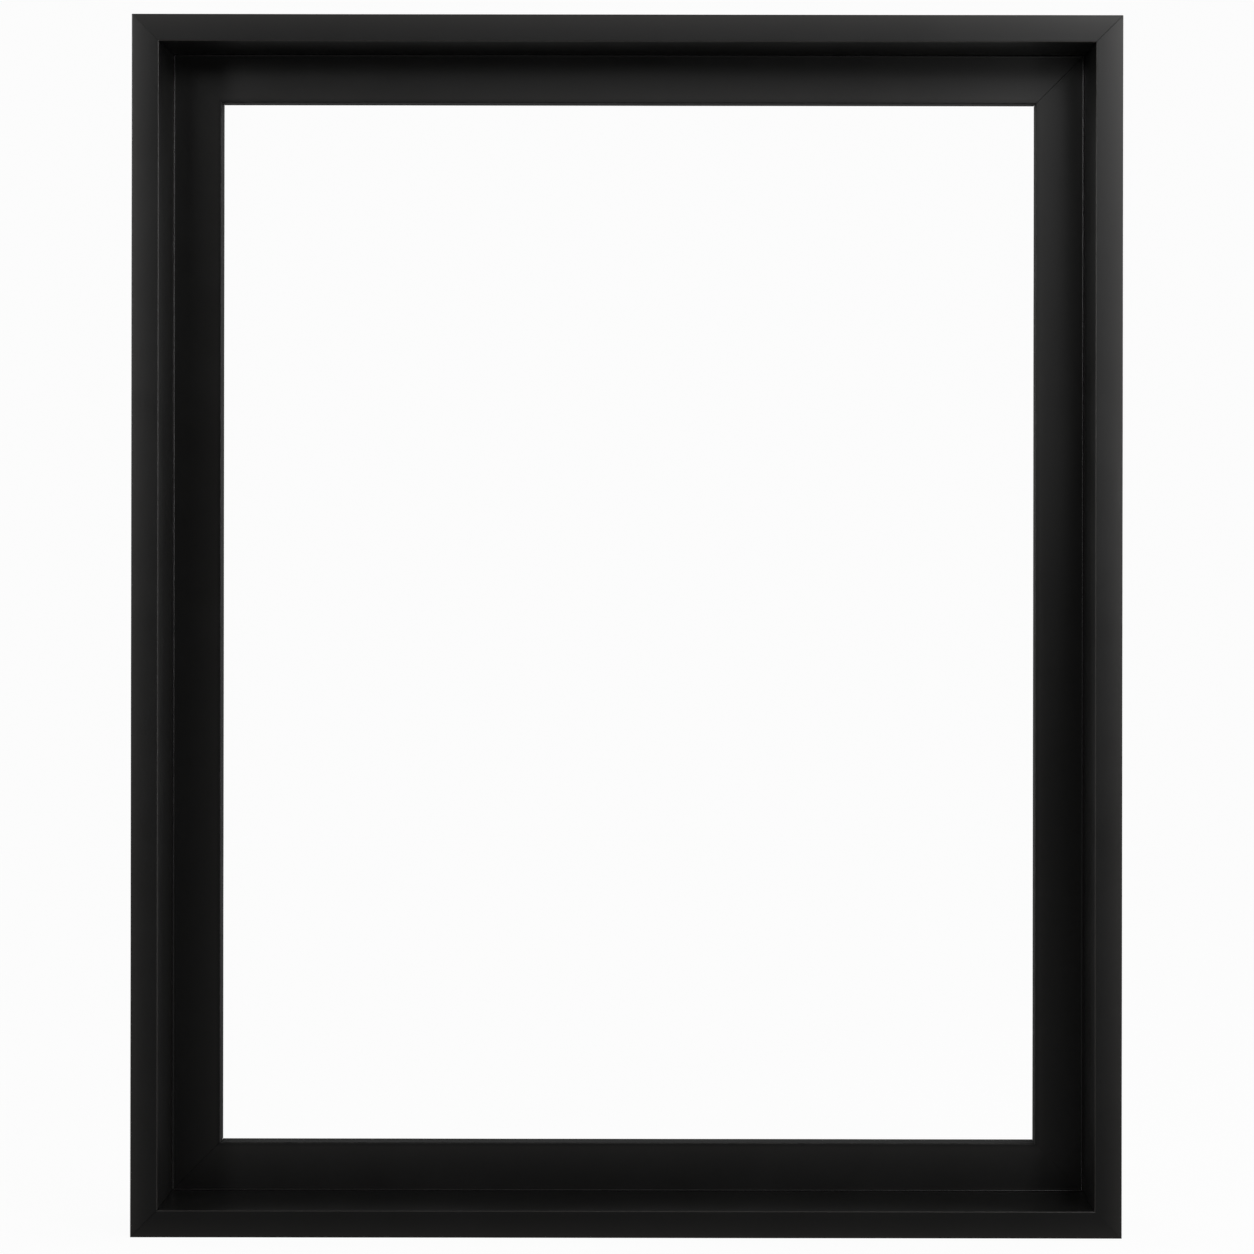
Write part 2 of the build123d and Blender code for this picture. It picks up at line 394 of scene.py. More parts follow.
class EffectRack:
    """Builds each shared effect once, as a group with named inputs and outputs.

    Each band is where, in the range of the value that it reads, a part of an effect comes in.
    """

    CLOUD_BAND = (0.3, 0.7)
    BEAD_BAND = (0.03, 0.09)
    PORE_BAND = (0.56, 0.72)
    PATCH_BAND = (0.38, 0.66)
    CHIP_BAND = (0.42, 0.68)
    SPECK_BAND = (0.5, 0.8)
    DRIFT_BAND = (0.3, 0.7)
    UPWARD_BAND = (0.2, 0.95)
    HAIR_BAND = (0.62, 0.7)
    HAIR_STRETCHES = ((1.0, 1.0, 0.05), (0.06, 1.0, 1.0))

    def __init__(self) -> None:
        """Starts with no groups made."""
        self.made: dict[Effect, bpy.types.NodeTree] = {}

    def group(self, effect: Effect) -> bpy.types.NodeTree:
        """The group of one effect, made the first time that it's asked for.

        Args:
            effect: which effect.

        Returns:
            The group.
        """
        if effect not in self.made:
            builders: dict[Effect, Callable[[], bpy.types.NodeTree]] = {
                Effect.MOTTLE: self.mottle,
                Effect.PEEL: self.peel,
                Effect.GRAIN: self.grain,
                Effect.EDGE_WEAR: self.edge_wear,
                Effect.DUST: self.dust,
                Effect.SCUFFS: self.scuffs,
            }
            self.made[effect] = builders[effect]()
        return self.made[effect]

    def start(
        self, effect: Effect, inputs: dict[str, float | tuple], outputs: Sequence[str]
    ) -> tuple[Tree, bpy.types.NodeSocket, bpy.types.Node]:
        """Opens a group and gives it its sockets.

        Args:
            effect: which effect it is.
            inputs: each input's name and first value, a number or three numbers.
            outputs: the names of the number outputs.

        Returns:
            The tree, the input node's outputs and the output node.
        """
        tree = bpy.data.node_groups.new(effect.value, "ShaderNodeTree")
        for name, value in inputs.items():
            kind = "NodeSocketVector" if isinstance(value, tuple) else "NodeSocketFloat"
            socket = tree.interface.new_socket(name, in_out="INPUT", socket_type=kind)
            socket.default_value = value
        for name in outputs:
            tree.interface.new_socket(name, in_out="OUTPUT", socket_type="NodeSocketFloat")
        sheet = Tree(tree)
        return sheet, sheet.add("NodeGroupInput").outputs, sheet.add("NodeGroupOutput")

    def mottle(self) -> bpy.types.NodeTree:
        """Soft cloudy unevenness, from Low to High.

        Returns:
            The group.
        """
        sheet, given, out = self.start(Effect.MOTTLE, {"Scale": 30.0, "Low": 0.0, "High": 1.0}, ["Value"])
        cloud = sheet.add(
            "ShaderNodeTexNoise", {"Vector": sheet.place(), "Scale": given["Scale"], "Detail": 4.0, "Roughness": 0.6}
        )
        spread = sheet.between(cloud.outputs[0], *self.CLOUD_BAND)
        reach = sheet.math("SUBTRACT", given["High"], given["Low"])
        sheet.tree.links.new(sheet.math("MULTIPLY_ADD", spread, reach, given["Low"]), out.inputs["Value"])
        return sheet.tree

    def peel(self) -> bpy.types.NodeTree:
        """The faint orange peel and pinpoint nibs of sprayed lacquer, as a height.

        Returns:
            The group.
        """
        sheet, given, out = self.start(Effect.PEEL, {"Scale": 900.0, "Nibs": 0.5}, ["Height"])
        point = sheet.place()
        skin = sheet.add("ShaderNodeTexNoise", {"Vector": point, "Scale": given["Scale"], "Detail": 2.0})
        nib = sheet.add("ShaderNodeTexVoronoi", {"Vector": point, "Scale": 210.0, "Randomness": 1.0})
        bead = sheet.between(nib.outputs["Distance"], *self.BEAD_BAND, 1.0, 0.0)
        height = sheet.math("MULTIPLY_ADD", bead, given["Nibs"], skin.outputs[0])
        sheet.tree.links.new(height, out.inputs["Height"])
        return sheet.tree

    def grain(self) -> bpy.types.NodeTree:
        """Closed-up wood grain that shows through paint: long pores, as a mask and a height.

        Returns:
            The group.
        """
        sheet, given, out = self.start(
            Effect.GRAIN, {"Stretch": (1.0, 1.0, 1.0), "Pores": 0.5}, ["Mask", "Height"]
        )
        coordinate = sheet.add("ShaderNodeTexCoord")
        point = sheet.add(
            "ShaderNodeVectorMath", {0: coordinate.outputs["Object"], 1: given["Stretch"]}, operation="MULTIPLY"
        ).outputs[0]
        fibre = sheet.add("ShaderNodeTexNoise", {"Vector": point, "Scale": 1500.0, "Detail": 3.0, "Roughness": 0.7})
        figure = sheet.add("ShaderNodeTexNoise", {"Vector": point, "Scale": 260.0, "Detail": 2.0})
        pore = sheet.between(fibre.outputs[0], *self.PORE_BAND)
        patch = sheet.between(figure.outputs[0], *self.PATCH_BAND)
        mask = sheet.math("MULTIPLY", sheet.math("MULTIPLY", pore, patch), given["Pores"])
        sheet.tree.links.new(mask, out.inputs["Mask"])
        sheet.tree.links.new(sheet.math("SUBTRACT", 1.0, mask), out.inputs["Height"])
        return sheet.tree

    def edge_wear(self) -> bpy.types.NodeTree:
        """Where handling has worn an edge, as a broken-up mask.

        Returns:
            The group.
        """
        sheet, given, out = self.start(Effect.EDGE_WEAR, {"Amount": 0.5, "Scale": 160.0}, ["Mask"])
        chip = sheet.add(
            "ShaderNodeTexNoise", {"Vector": sheet.place(), "Scale": given["Scale"], "Detail": 5.0, "Roughness": 0.7}
        )
        chipped = sheet.between(chip.outputs[0], *self.CHIP_BAND)
        level = sheet.math("MULTIPLY", sheet.point_value("edge"), chipped)
        sheet.tree.links.new(sheet.math("MULTIPLY", level, given["Amount"], clamp=True), out.inputs["Mask"])
        return sheet.tree

    def dust(self) -> bpy.types.NodeTree:
        """Fine dust that has settled on faces that look up, as a mask.

        Returns:
            The group.
        """
        sheet, given, out = self.start(Effect.DUST, {"Amount": 0.2}, ["Mask"])
        facing = sheet.add("ShaderNodeNewGeometry")
        up = sheet.add("ShaderNodeSeparateXYZ", {0: facing.outputs["Normal"]}).outputs["Z"]
        speck = sheet.add("ShaderNodeTexNoise", {"Vector": sheet.place(), "Scale": 1900.0, "Detail": 3.0})
        drift = sheet.add("ShaderNodeTexNoise", {"Vector": sheet.place(), "Scale": 45.0, "Detail": 2.0})
        specks = sheet.between(speck.outputs[0], *self.SPECK_BAND)
        drifts = sheet.between(drift.outputs[0], *self.DRIFT_BAND)
        cover = sheet.math("MULTIPLY", specks, drifts)
        level = sheet.math("MULTIPLY", sheet.between(up, *self.UPWARD_BAND), cover)
        sheet.tree.links.new(sheet.math("MULTIPLY", level, given["Amount"], clamp=True), out.inputs["Mask"])
        return sheet.tree

    def scuffs(self) -> bpy.types.NodeTree:
        """Crossed hairline scratches, as a mask and a height.

        Returns:
            The group.
        """
        sheet, given, out = self.start(Effect.SCUFFS, {"Scale": 900.0, "Amount": 0.5}, ["Mask", "Height"])
        lines = None
        for stretch in self.HAIR_STRETCHES:
            hair = sheet.add(
                "ShaderNodeTexNoise", {"Vector": sheet.place(stretch), "Scale": given["Scale"], "Detail": 2.0}
            )
            line = sheet.between(hair.outputs[0], *self.HAIR_BAND)
            lines = line if lines is None else sheet.math("MAXIMUM", lines, line)
        mask = sheet.math("MULTIPLY", lines, given["Amount"])
        sheet.tree.links.new(mask, out.inputs["Mask"])
        sheet.tree.links.new(sheet.math("SUBTRACT", 1.0, mask), out.inputs["Height"])
        return sheet.tree


EFFECTS = EffectRack()


class Finish:
    """The start of a finish: a named material with one Principled surface."""

    def __init__(self, name: str, colour: tuple[float, float, float], roughness: float, **settings: float) -> None:
        """Makes the material.

        Args:
            name: the material's name.
            colour: its base colour.
            roughness: its roughness, before any unevenness.
            settings: further inputs of the surface, with spaces written as underscores.
        """
        self.material = bpy.data.materials.new(name)
        self.material.use_nodes = True
        self.sheet = Tree(self.material.node_tree)
        self.surface = self.material.node_tree.nodes["Principled BSDF"]
        self.surface.inputs["Base Color"].default_value = (*colour, 1.0)
        self.surface.inputs["Roughness"].default_value = roughness
        for key, value in settings.items():
            self.surface.inputs[key.replace("_", " ")].default_value = value

    def effect(self, kind: Effect, **inputs: object) -> bpy.types.Node:
        """Places a shared effect in this material with its own values.

        Args:
            kind: which effect.
            inputs: its inputs by name.

        Returns:
            The group's node.
        """
        node = self.sheet.add("ShaderNodeGroup", node_tree=EFFECTS.group(kind))
        for name, value in inputs.items():
            node.inputs[name].default_value = value
        return node

    def feed(self, name: str, socket: bpy.types.NodeSocket) -> None:
        """Joins a socket to one of the surface's inputs."""
        self.sheet.tree.links.new(socket, self.surface.inputs[name])

    def emboss(self, heights: Sequence[tuple[bpy.types.NodeSocket, float]]) -> None:
        """Raises the surface by one height after another.

        Args:
            heights: each height with its real size in metres.
        """
        normal = None
        for height, distance in heights:
            inputs = {"Height": height, "Distance": distance, "Strength": 1.0}
            if normal is not None:
                inputs["Normal"] = normal
            normal = self.sheet.add("ShaderNodeBump", inputs).outputs["Normal"]
        self.feed("Normal", normal)


@dataclass(frozen=True)
class BlackLacquer:
    """Satin black sprayed lacquer over wood, thinner and rougher on the back, lightened by painted sheen and painted
    highlights where the rails' points carry them.
    """

    grain: Grain
    black: tuple[float, float, float] = (0.0117, 0.0115, 0.0112)
    thin_black: tuple[float, float, float] = (0.0175, 0.0160, 0.0148)
    # the pale tone of real edge wear, also used for the painted sheen
    rubbed: tuple[float, float, float] = (0.050, 0.047, 0.044)
    dust: tuple[float, float, float] = (0.20, 0.20, 0.20)
    satin: tuple[float, float] = (0.30, 0.36)
    darkened: float = 0.5
    back_roughness: float = 0.62
    back_plane: float = 0.0235
    back_blend: float = 0.0004
    filled: float = 0.12
    back_pores: float = 0.8
    wear_shine: float = -0.08
    dust_dullness: float = 0.5
    peel_height: float = 0.000006
    pore_depth: float = 0.00006

    def material(self) -> bpy.types.Material:
        """Builds the finish.

        Returns:
            Its material.
        """
        finish = Finish(f"black_lacquer_{self.grain.value}", self.black, self.satin[0], IOR=1.5)
        sheet = finish.sheet
        along = (1.0, 1.0, 0.02) if self.grain is Grain.UPRIGHT else (0.02, 1.0, 1.0)
        point = sheet.add("ShaderNodeTexCoord").outputs["Object"]
        depth = sheet.add("ShaderNodeSeparateXYZ", {0: point}).outputs["Y"]
        back = sheet.between(depth, self.back_plane - self.back_blend, self.back_plane)
        pores = finish.effect(Effect.GRAIN, Stretch=along, Pores=1.0)
        sheen = finish.effect(Effect.MOTTLE, Scale=28.0, Low=self.satin[0], High=self.satin[1])
        peel = finish.effect(Effect.PEEL, Scale=850.0, Nibs=0.6)
        wear = finish.effect(Effect.EDGE_WEAR, Amount=0.5, Scale=170.0)
        settled = finish.effect(Effect.DUST, Amount=0.10)
        coat = sheet.blend(back, (*self.black, 1), (*self.thin_black, 1))
        grained = sheet.blend(
            sheet.math("MULTIPLY", pores.outputs["Mask"], sheet.between(back, 0, 1, self.filled, self.back_pores)),
            coat,
            (*[self.darkened * tone for tone in self.black], 1),
        )
        # painted sheen and painted highlights: the lip lighter towards its outer edge, the inner arris and the ledge
        # by the opening
        painted_sheen_coat = sheet.blend(sheet.point_value("rubbed"), grained, (*self.rubbed, 1))
        worn = sheet.blend(wear.outputs["Mask"], painted_sheen_coat, (*self.rubbed, 1))
        finish.feed("Base Color", sheet.blend(settled.outputs["Mask"], worn, (*self.dust, 1)))
        dull = sheet.add("ShaderNodeMix", {0: back, 2: sheen.outputs["Value"], 3: self.back_roughness})
        glossy = sheet.math("SUBTRACT", dull.outputs[0], sheet.point_value("gloss"))
        rubbed = sheet.math("MULTIPLY_ADD", wear.outputs["Mask"], self.wear_shine, glossy)
        finish.feed("Roughness", sheet.math("MULTIPLY_ADD", settled.outputs["Mask"], self.dust_dullness, rubbed))
        pore_height = sheet.math("MULTIPLY", pores.outputs["Height"], sheet.between(back, 0, 1, self.filled, 1.0))
        finish.emboss([(peel.outputs["Height"], self.peel_height), (pore_height, self.pore_depth)])
        return finish.material


@dataclass(frozen=True)
class PlatedSteel:
    """Zinc-plated mild steel, a little cloudy, with fine scratches."""

    name: str = "zinc_plate"
    colour: tuple[float, float, float] = (0.62, 0.62, 0.60)
    cloud: tuple[float, float, float] = (0.48, 0.47, 0.44)
    roughness: tuple[float, float] = (0.26, 0.42)
    polished: tuple[float, float, float] = (0.74, 0.74, 0.73)
    scuff_dullness: float = 0.12
    haze_height: float = 0.00001
    scuff_depth: float = 0.000006

    def material(self) -> bpy.types.Material:
        """Builds the finish.

        Returns:
            Its material.
        """
        finish = Finish(self.name, self.colour, self.roughness[0], Metallic=1.0)
        sheet = finish.sheet
        bloom = finish.effect(Effect.MOTTLE, Scale=420.0, Low=0.0, High=1.0)
        haze = finish.effect(Effect.MOTTLE, Scale=900.0, Low=self.roughness[0], High=self.roughness[1])
        scuff = finish.effect(Effect.SCUFFS, Scale=1400.0, Amount=0.6)
        wear = finish.effect(Effect.EDGE_WEAR, Amount=0.6, Scale=600.0)
        clouded = sheet.blend(bloom.outputs["Value"], (*self.colour, 1), (*self.cloud, 1))
        finish.feed("Base Color", sheet.blend(wear.outputs["Mask"], clouded, (*self.polished, 1)))
        duller = sheet.math("MULTIPLY_ADD", scuff.outputs["Mask"], self.scuff_dullness, haze.outputs["Value"])
        finish.feed("Roughness", duller)
        finish.emboss([(haze.outputs["Value"], self.haze_height), (scuff.outputs["Height"], self.scuff_depth)])
        return finish.material


@dataclass(frozen=True)
class ClearRubber:
    """Soft clear polyurethane, lightly hazed by handling."""

    colour: tuple[float, float, float] = (0.86, 0.88, 0.88)
    scuffed: tuple[float, float, float] = (0.60, 0.61, 0.60)
    scuff_depth: float = 0.000008

    def material(self) -> bpy.types.Material:
        """Builds the finish.

        Returns:
            Its material.
        """
        finish = Finish("clear_rubber", self.colour, 0.22, IOR=1.47, Transmission_Weight=0.94)
        sheet = finish.sheet
        haze = finish.effect(Effect.MOTTLE, Scale=180.0, Low=0.10, High=0.17)
        speck = finish.effect(Effect.SCUFFS, Scale=1500.0, Amount=0.12)
        tint = sheet.blend(speck.outputs["Mask"], (*self.colour, 1), (*self.scuffed, 1))
        finish.feed("Base Color", tint)
        finish.feed("Roughness", haze.outputs["Value"])
        finish.emboss([(speck.outputs["Height"], self.scuff_depth)])
        return finish.material


# ------------------------------------------------------------------------------------ the rails
@dataclass(frozen=True)
class Moulding:
    """The L section that all four rails are cut from."""

    lip: float = 0.012
    width: float = 0.0336
    ledge_plane: float = 0.039
    depth: float = 0.048
    arris: float = 0.0005
    inside: float = 0.0007
    fall: float = 0.00035
    # painted sheen: how much the outer front arris and the lip's outer edge are lightened, in place of light caught
    # there
    rub: float = 0.6
    # painted sheen on the ledge, growing towards the opening, in place of the light that reaches it there
    ledge_painted_sheen: float = 0.35
    pooled: float = 0.12
    matt: float = 0.42
    arris_steps: int = 6
    lip_steps: int = 12
    hollow_steps: int = 8

    def outline(self) -> list[SectionPoint]:
        """The closed outline: u runs in from the outer edge and v back from the front face, with painted sheen on
        the lip, its two arrises and the ledge.

        Returns:
            The outline's points, in order.
        """
        soft = self.arris
        inner = self.width - soft
        outer = arc((soft, soft + self.fall), soft, 180, 270, self.arris_steps)
        # painted sheen on the outer front arris
        points = [point._replace(rubbed=self.rub) for point in outer]
        # painted sheen across the lip, fading from the outer edge inwards
        for step in range(1, self.lip_steps):
            share = step / self.lip_steps
            out = (1 - share) ** 2
            points.append(SectionPoint(soft + share * (self.lip - 2 * soft), self.fall * out, 0.0, self.rub * out))
        inside = arc((self.lip - soft, soft), soft, 270, 360, self.arris_steps)
        # painted highlight along the lip's inner arris
        points += [point._replace(rubbed=point.edge) for point in inside]
        bottom = (self.lip + self.inside, self.ledge_plane - self.inside)
        hollow = arc(bottom, self.inside, 180, 90, self.hollow_steps)
        points += [point._replace(edge=0.0, gloss=self.pooled * point.edge) for point in hollow]
        start = self.lip + self.inside
        for step in range(1, self.lip_steps):
            share = step / self.lip_steps
            across = start + share * (inner - start)
            # painted sheen on the ledge, strongest at the opening
            points.append(SectionPoint(across, self.ledge_plane, 0.0, self.ledge_painted_sheen * share**3))
        front_round = arc((inner, self.ledge_plane + soft), soft, 270, 360, self.arris_steps)
        back_round = arc((inner, self.depth - soft), soft, 0, 90, self.arris_steps)
        for step, (front, back) in enumerate(zip(front_round, back_round)):
            share = step / self.arris_steps
            front_round[step] = front._replace(gloss=-self.matt * share)
            back_round[step] = back._replace(gloss=-self.matt * (1 - share))
        points += front_round + back_round
        points += arc((soft, self.depth - soft), soft, 90, 180, self.arris_steps)
        return points


def inward_normals(outline: Sequence[SectionPoint]) -> list[tuple[float, float]]:
    """For each point of a closed outline, the direction into the wood.

    Args:
        outline: the outline.

    Returns:
        A unit direction for each point.
    """
    normals = []
    for index in range(len(outline)):
        before, after = outline[index - 1], outline[(index + 1) % len(outline)]
        along = (after.u - before.u, after.v - before.v)
        length = math.hypot(*along)
        normals.append((-along[1] / length, along[0] / length))
    return normals


@dataclass
class Rail:
    """One mitred rail of the frame."""

    name: str
    grain: Grain
    outer_middle: Vector
    inward: Vector
    along: Vector
    half_length: float
    start_ease: float
    end_ease: float
    phase: float
    moulding: Moulding = field(default_factory=Moulding)
    low_end: float = 0.0
    low_length: float = 0.12
    ripple: float = 0.00003
    ripple_drift: tuple[float, float] = (90, 50)
    still_ends: int = 8
    stations: int = 26

    def build(self) -> bpy.types.Object:
        """Makes the rail, with its eased mitres and its hardly visible ripple.

        Returns:
            The rail, before its nail slots are cut.
        """
        outline = self.moulding.outline()
        normals = inward_normals(outline)
        drift_in, drift_back = self.ripple_drift
        # each point's edge, painted sheen and gloss values, for the lacquer to read
        rings, marks = [], {"edge": [], "rubbed": [], "gloss": []}
        for share, ease, sunk in self.steps():
            ring = []
            for point, normal in zip(outline, normals):
                reach = self.half_length - point.u - ease
                position = share * reach
                window = 1 - share**self.still_ends
                phase = self.phase + point.u * drift_in + point.v * drift_back
                dip = sunk + self.ripple * window * wave(position, phase)
                u = point.u + normal[0] * dip
                v = point.v + normal[1] * dip + self.ledge_fall(point, reach - position)
                ring.append(self.outer_middle + self.inward * u + REARWARD * v + self.along * position)
                marks["edge"].append(point.edge)
                marks["rubbed"].append(point.rubbed)
                marks["gloss"].append(point.gloss)
            rings.append(ring)
        rail = piece_from(loft(rings), self.name)
        for mark, values in marks.items():
            paint_points(rail.data, mark, values)
        return rail

    def ledge_fall(self, point: SectionPoint, to_end: float) -> float:
        """How much lower the ledge lies at a point of the section, this far from the rail's end.

        Args:
            point: the point of the section.
            to_end: the distance to the rail's far end.

        Returns:
            The extra depth.
        """
        shape = self.moulding
        on_ledge = point.u > shape.lip + shape.inside and point.v < shape.ledge_plane + shape.arris
        return self.low_end * max(0.0, 1 - to_end / self.low_length) ** 2 if on_ledge else 0.0

    def steps(self) -> list[tuple[float, float, float]]:
        """The rail's cross-sections.

        Returns:
            For each, its share of the half length, its distance from the mitre and how far it is sunk.
        """
        rows = [(-1.0, 0.0, self.start_ease), (-1.0, self.start_ease, 0.0)]
        for step in range(1, self.stations):
            rows.append((2 * step / self.stations - 1, 0.0, 0.0))
        rows += [(1.0, self.end_ease, 0.0), (1.0, 0.0, self.end_ease)]
        return rows


def rounded(corners: Sequence[tuple[float, float]], radius: float, steps: int = 5) -> list[tuple[float, float]]:
    """Rounds each inner corner of an open path.

    Args:
        corners: the path's corners and ends.
        radius: the bends' radius.
        steps: how many chords each bend has.

    Returns:
        The whole path, ends included.
    """
    path = [tuple(corners[0])]
    for before, here, after in zip(corners, corners[1:], corners[2:]):
        corner = Vector(here)
        way_in = (corner - Vector(before)).normalized()
        way_out = (Vector(after) - corner).normalized()
        turn = way_in.angle_signed(way_out)
        back = radius * math.tan(abs(turn) / 2)
        start = corner - way_in * back
        centre = start + Vector((way_in.y, -way_in.x)) * math.copysign(radius, turn)
        for step in range(steps + 1):
            arm = (start - centre).to_3d()
            arm.rotate(Matrix.Rotation(-turn * step / steps, 3, "Z"))
            path.append(tuple((centre + arm.to_2d())[:]))
    path.append(tuple(corners[-1]))
    return path


def strip(path: Sequence[tuple[float, float]], thickness: float) -> list[tuple[float, float]]:
    """The outline of a strip of even thickness along an open path.

    Args:
        path: the middle of the strip.
        thickness: its thickness.

    Returns:
        The closed outline.
    """
    left, right = [], []
    for index, (x, y) in enumerate(path):
        before, after = path[max(index - 1, 0)], path[min(index + 1, len(path) - 1)]
        length = math.hypot(after[0] - before[0], after[1] - before[1])
        normal = (-(after[1] - before[1]) / length, (after[0] - before[0]) / length)
        left.append((x + normal[0] * thickness / 2, y + normal[1] * thickness / 2))
        right.append((x - normal[0] * thickness / 2, y - normal[1] * thickness / 2))
    return left + right[::-1]


@dataclass
class VNail:
    """A folded v of steel strip that holds one mitre, pointing at the outer corner."""

    side: Side
    level: Level
    place: NailPlace
    thickness: float = 0.0006
    wing: float = 0.004
    flange: float = 0.0012
    half_angle: float = 50.0
    bend: float = 0.0006
    wall_point: float = 0.007
    ledge_point: float = 0.030
    sharpened: float = 0.0012
    driven_share: float = 0.25
    eased: float = 0.00006
    slot_play: float = 0.00002
    slot_deeper: float = 0.00001
    slot_flare: float = 0.00012
    flare_depth: float = 0.0003
    slot_out: float = 0.001
    crease: float = 40

    @property
    def node(self) -> str:
        """The CAD node's name."""
        return f"v_nail_{self.place.value}_{self.level.value}_{self.side.value}"

    def ring(self, thickness: float, y: float) -> list[Vector]:
        """The strip's outline at one depth, in the frame's own axes.

        Args:
            thickness: the strip's thickness there.
            y: the depth.

        Returns:
            The outline's points.
        """
        low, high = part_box(f"rail_{self.side.value}")
        corner = Vector(
            (low.x if self.side is Side.LEFT else high.x, 0, low.z if self.level is Level.BOTTOM else high.z)
        )
        inward = Vector((-self.side.sign, 0, -self.level.sign)).normalized()
        across = REARWARD.cross(inward)
        point = self.ledge_point if self.place is NailPlace.LEDGE else self.wall_point
        turn = math.radians(self.half_angle)
        end = (point + self.wing * math.cos(turn), self.wing * math.sin(turn))
        tip = (end[0] + self.flange, end[1])
        corners = [tip, end, (point, 0.0), (end[0], -end[1]), (tip[0], -tip[1])]
        outline = strip(rounded(corners, self.bend), thickness)
        return [corner + inward * x + across * z + REARWARD * y for x, z in outline]

    def build(self) -> bpy.types.Object:
        """Makes the nail, with its driven edge sharpened and its struck edge eased.

        Returns:
            The nail.
        """
        low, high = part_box(self.node)
        rings = [
            self.ring(self.thickness * self.driven_share, low.y),
            self.ring(self.thickness, low.y + self.sharpened),
            self.ring(self.thickness, high.y - self.eased),
            self.ring(self.thickness - self.eased, high.y),
        ]
        return piece_from(loft(rings), self.node + "_steel")

    def slot(self, mouth: float) -> bpy.types.Object:
        """Makes the shape that this nail cuts in the wood, out past the back and flared where it breaks it.

        Args:
            mouth: the depth of the wood's back face.

        Returns:
            The cutter.
        """
        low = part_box(self.node)[0]
        thickness = self.thickness + self.slot_play
        flared = thickness + 2 * self.slot_flare
        rings = [
            self.ring(thickness, low.y - self.slot_deeper),
            self.ring(thickness, mouth - self.flare_depth),
            self.ring(flared, mouth),
            self.ring(flared, mouth + self.slot_out),
        ]
        return piece_from(loft(rings), self.node + "_slot")


@dataclass
class Carcase:
    """The four rails and the v-nails that join them."""

    moulding: Moulding = field(default_factory=Moulding)
    tight: float = 0.00004
    open: float = 0.00013
    ledge_step: float = 0.0001
    phase_step: float = 1.7
    crease: float = 32

    def rails(self) -> list[Rail]:
        """Plans the four rails, each with how open its two mitres are and how far its ledge drops at the far end.

        Returns:
            The rails.
        """
        low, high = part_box("rail_left")[0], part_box("rail_right")[1]
        middle_x, middle_z = (low.x + high.x) / 2, (low.z + high.z) / 2
        wide, tall = (high.x - low.x) / 2, (high.z - low.z) / 2
        upright, level = (Grain.UPRIGHT, UP, tall), (Grain.LEVEL, RIGHT, wide)
        plans = [
            ("rail_left", upright, (low.x, low.y, middle_z), RIGHT, self.open, self.tight, 0),
            ("rail_right", upright, (high.x, low.y, middle_z), -RIGHT, self.tight, self.open, self.ledge_step),
            ("rail_bottom", level, (middle_x, low.y, low.z), UP, self.open, self.tight, 0),
            ("rail_top", level, (middle_x, low.y, high.z), -UP, self.tight, self.open, 0),
        ]
        rails = []
        for number, (name, (grain, along, half), outer, inward, start, end, drop) in enumerate(plans):
            phase = self.phase_step * number
            rails.append(
                Rail(name, grain, Vector(outer), inward, along, half, start, end, phase, self.moulding, drop)
            )
        return rails

    def build(self, dress: "Workshop") -> None:
        """Makes, cuts, finishes and hands over the rails and the nails.

        Args:
            dress: the workshop that finishes the pieces.
        """
        nails = [VNail(side, level, place) for level in Level for side in Side for place in NailPlace]
        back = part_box("rail_left")[1].y
        for rail in self.rails():
            wood = rail.build()
            wood.name = rail.name + "_wood"
            for nail in nails:
                meets = rail.name in (f"rail_{nail.side.value}", f"rail_{nail.level.value}")
                if meets and nail.place is not NailPlace.WALL:
                    cut(wood, [nail.slot(back)])
            smooth(wood, self.crease)
            dress.hand_over(wood, f"lacquer_{rail.grain.value}", "frame", rail.name)
        for nail in nails:
            steel = nail.build()
            smooth(steel, nail.crease)
            dress.hand_over(steel, "bright_strip", "frame", nail.node)


